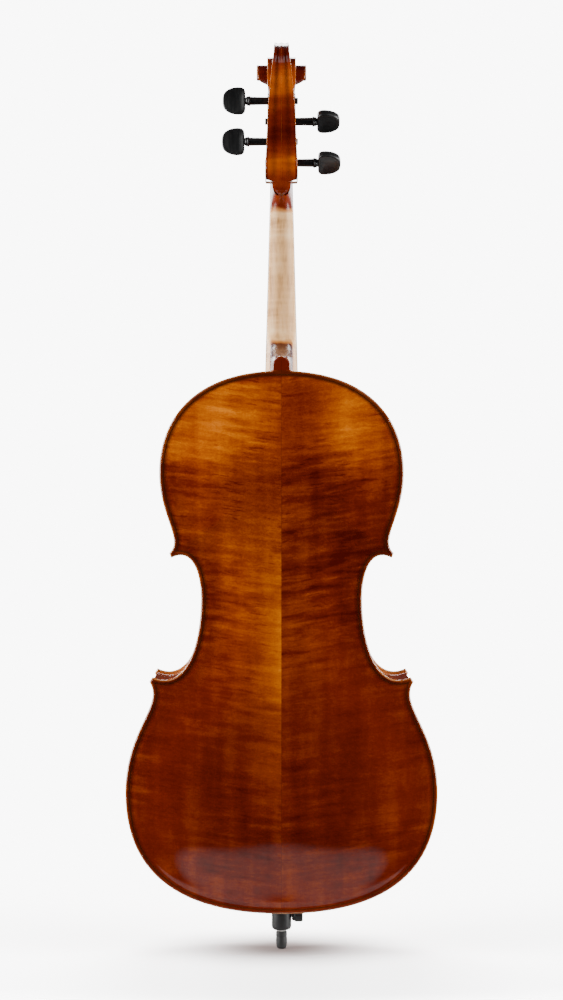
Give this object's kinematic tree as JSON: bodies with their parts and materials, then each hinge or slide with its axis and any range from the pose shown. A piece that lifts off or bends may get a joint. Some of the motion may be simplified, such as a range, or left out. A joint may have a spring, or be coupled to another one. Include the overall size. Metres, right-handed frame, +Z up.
{
  "type": "cello",
  "caption": "Full size bowed string instrument with an arched hollow body, scroll head, turning pegs, fine tuners and a sliding endpin.",
  "frame": {"origin": "the point on the floor under the endpin's rubber tip, on the centre plane of the instrument", "axes": "+Z up along the instrument from the endpin to the scroll, +Y out of the back, -Y out of the top and strings, +X to the treble side"},
  "size_m": [0.434, 0.2624, 1.2839],
  "materials": {
    "back_maple": "glossy red-brown spirit varnish over flamed maple",
    "top_spruce": "glossy red-brown varnish over straight grained spruce",
    "rib_maple": "glossy red-brown varnish over flamed maple",
    "dark_purfling": "dyed strip, flush",
    "bare_maple": "bare oiled maple with varnished ends",
    "bare_spruce": "bare planed wood inside the body",
    "bare_willow": "bare planed wood inside the body",
    "ebony": "hand polished ebony",
    "bridge_maple": "bare maple",
    "tail_black": "satin black composite",
    "tuner_steel": "blackened steel",
    "tuner_nickel": "nickel plated",
    "string_steel": "wound steel",
    "cord_black": "black synthetic tail cord",
    "rod_steel": "plain steel",
    "tip_rubber": "black rubber"
  },
  "bodies": {
    "cello_body": {"back_half_bass": "back_maple", "back_half_treble": "back_maple", "back_purfling": "dark_purfling", "top_half_bass": "top_spruce", "top_half_treble": "top_spruce", "top_purfling": "dark_purfling", "rib_upper_bass": "rib_maple", "rib_upper_treble": "rib_maple", "rib_middle_bass": "rib_maple", "rib_middle_treble": "rib_maple", "rib_lower_bass": "rib_maple", "rib_lower_treble": "rib_maple", "linings_back": "bare_willow", "linings_top": "bare_willow", "upper_block": "bare_willow", "lower_block": "bare_willow", "corner_blocks_upper": "bare_willow", "corner_blocks_lower": "bare_willow", "bass_bar": "bare_spruce", "sound_post": "bare_spruce", "neck": "bare_maple", "fingerboard": "ebony", "nut": "ebony", "saddle": "ebony", "bridge": "bridge_maple", "tailpiece": "tail_black", "tailpiece_fret": "tuner_nickel", "tailgut": "cord_black", "tuner_pins": "tuner_steel", "string_c": "string_steel", "string_g": "string_steel", "string_d": "string_steel", "string_a": "string_steel", "endpin_plug": "ebony", "endpin_ferrule": "tuner_nickel"},
    "peg_body_c": {"peg_c": "ebony", "winding_c": "string_steel"},
    "peg_body_g": {"peg_g": "ebony", "winding_g": "string_steel"},
    "peg_body_d": {"peg_d": "ebony", "winding_d": "string_steel"},
    "peg_body_a": {"peg_a": "ebony", "winding_a": "string_steel"},
    "tuner_screw_body_c": {"tuner_screw_c": "tuner_nickel"},
    "tuner_knob_body_c": {"tuner_knob_c": "tuner_nickel"},
    "tuner_lever_body_c": {"tuner_lever_c": "tuner_steel"},
    "tuner_screw_body_g": {"tuner_screw_g": "tuner_nickel"},
    "tuner_knob_body_g": {"tuner_knob_g": "tuner_nickel"},
    "tuner_lever_body_g": {"tuner_lever_g": "tuner_steel"},
    "tuner_screw_body_d": {"tuner_screw_d": "tuner_nickel"},
    "tuner_knob_body_d": {"tuner_knob_d": "tuner_nickel"},
    "tuner_lever_body_d": {"tuner_lever_d": "tuner_steel"},
    "tuner_screw_body_a": {"tuner_screw_a": "tuner_nickel"},
    "tuner_knob_body_a": {"tuner_knob_a": "tuner_nickel"},
    "tuner_lever_body_a": {"tuner_lever_a": "tuner_steel"},
    "endpin_body": {"endpin_rod": "rod_steel", "endpin_tip": "tip_rubber"},
    "clamp_screw_body": {"clamp_screw": "rod_steel"},
    "clamp_knob_body": {"clamp_knob": "ebony"}
  },
  "joints": [
    {"name": "peg_turn_c", "type": "hinge", "parent": "cello_body", "child": "peg_body_c", "pos_m": [0, -0.01446, 1.11639], "axis": [-1, 0, 0], "continuous": true},
    {"name": "peg_turn_g", "type": "hinge", "parent": "cello_body", "child": "peg_body_g", "pos_m": [0, -0.00198, 1.17324], "axis": [-1, 0, 0], "continuous": true},
    {"name": "peg_turn_d", "type": "hinge", "parent": "cello_body", "child": "peg_body_d", "pos_m": [0, 0.00693, 1.201], "axis": [1, 0, 0], "continuous": true},
    {"name": "peg_turn_a", "type": "hinge", "parent": "cello_body", "child": "peg_body_a", "pos_m": [0, -0.00883, 1.14577], "axis": [1, 0, 0], "continuous": true},
    {"name": "tuner_travel_c", "type": "slide", "parent": "cello_body", "child": "tuner_screw_body_c", "axis": [0, -0.9651, -0.2619], "range_m": [0, 0.003]},
    {"name": "tuner_turn_c", "type": "hinge", "parent": "tuner_screw_body_c", "child": "tuner_knob_body_c", "pos_m": [-0.021, -0.1299, 0.25067], "axis": [0, -0.9651, -0.2619], "range_deg": [0, 2160.01]},
    {"name": "tuner_rock_c", "type": "hinge", "parent": "cello_body", "child": "tuner_lever_body_c", "pos_m": [-0.021, -0.12099, 0.27589], "axis": [-1, 0, 0], "range_deg": [0, 8]},
    {"name": "tuner_travel_g", "type": "slide", "parent": "cello_body", "child": "tuner_screw_body_g", "axis": [0, -0.9651, -0.2619], "range_m": [0, 0.003]},
    {"name": "tuner_turn_g", "type": "hinge", "parent": "tuner_screw_body_g", "child": "tuner_knob_body_g", "pos_m": [-0.007, -0.13305, 0.24982], "axis": [0, -0.9651, -0.2619], "range_deg": [0, 2160.01]},
    {"name": "tuner_rock_g", "type": "hinge", "parent": "cello_body", "child": "tuner_lever_body_g", "pos_m": [-0.007, -0.12414, 0.27503], "axis": [-1, 0, 0], "range_deg": [0, 8]},
    {"name": "tuner_travel_d", "type": "slide", "parent": "cello_body", "child": "tuner_screw_body_d", "axis": [0, -0.9651, -0.2619], "range_m": [0, 0.003]},
    {"name": "tuner_turn_d", "type": "hinge", "parent": "tuner_screw_body_d", "child": "tuner_knob_body_d", "pos_m": [0.007, -0.13305, 0.24982], "axis": [0, -0.9651, -0.2619], "range_deg": [0, 2160.01]},
    {"name": "tuner_rock_d", "type": "hinge", "parent": "cello_body", "child": "tuner_lever_body_d", "pos_m": [0.007, -0.12414, 0.27503], "axis": [-1, 0, 0], "range_deg": [0, 8]},
    {"name": "tuner_travel_a", "type": "slide", "parent": "cello_body", "child": "tuner_screw_body_a", "axis": [0, -0.9651, -0.2619], "range_m": [0, 0.003]},
    {"name": "tuner_turn_a", "type": "hinge", "parent": "tuner_screw_body_a", "child": "tuner_knob_body_a", "pos_m": [0.021, -0.1299, 0.25067], "axis": [0, -0.9651, -0.2619], "range_deg": [0, 2160.01]},
    {"name": "tuner_rock_a", "type": "hinge", "parent": "cello_body", "child": "tuner_lever_body_a", "pos_m": [0.021, -0.12099, 0.27589], "axis": [-1, 0, 0], "range_deg": [0, 8]},
    {"name": "endpin_slide", "type": "slide", "parent": "cello_body", "child": "endpin_body", "axis": [0, 0, -1], "range_m": [0, 0.42]},
    {"name": "clamp_travel", "type": "slide", "parent": "cello_body", "child": "clamp_screw_body", "axis": [-1, 0, 0], "range_m": [0, 0.002]},
    {"name": "clamp_turn", "type": "hinge", "parent": "clamp_screw_body", "child": "clamp_knob_body", "pos_m": [-0.022, 0, 0.047], "axis": [-1, 0, 0], "range_deg": [0, 720.01]}
  ],
  "couplings": [
    {"joint": "tuner_turn_c", "follows": "tuner_travel_c", "rad_per_m": 12566},
    {"joint": "tuner_rock_c", "follows": "tuner_travel_c", "rad_per_m": 45.455},
    {"joint": "tuner_turn_g", "follows": "tuner_travel_g", "rad_per_m": 12566},
    {"joint": "tuner_rock_g", "follows": "tuner_travel_g", "rad_per_m": 45.455},
    {"joint": "tuner_turn_d", "follows": "tuner_travel_d", "rad_per_m": 12566},
    {"joint": "tuner_rock_d", "follows": "tuner_travel_d", "rad_per_m": 45.455},
    {"joint": "tuner_turn_a", "follows": "tuner_travel_a", "rad_per_m": 12566},
    {"joint": "tuner_rock_a", "follows": "tuner_travel_a", "rad_per_m": 45.455},
    {"joint": "clamp_turn", "follows": "clamp_travel", "rad_per_m": 6283.2}
  ]
}
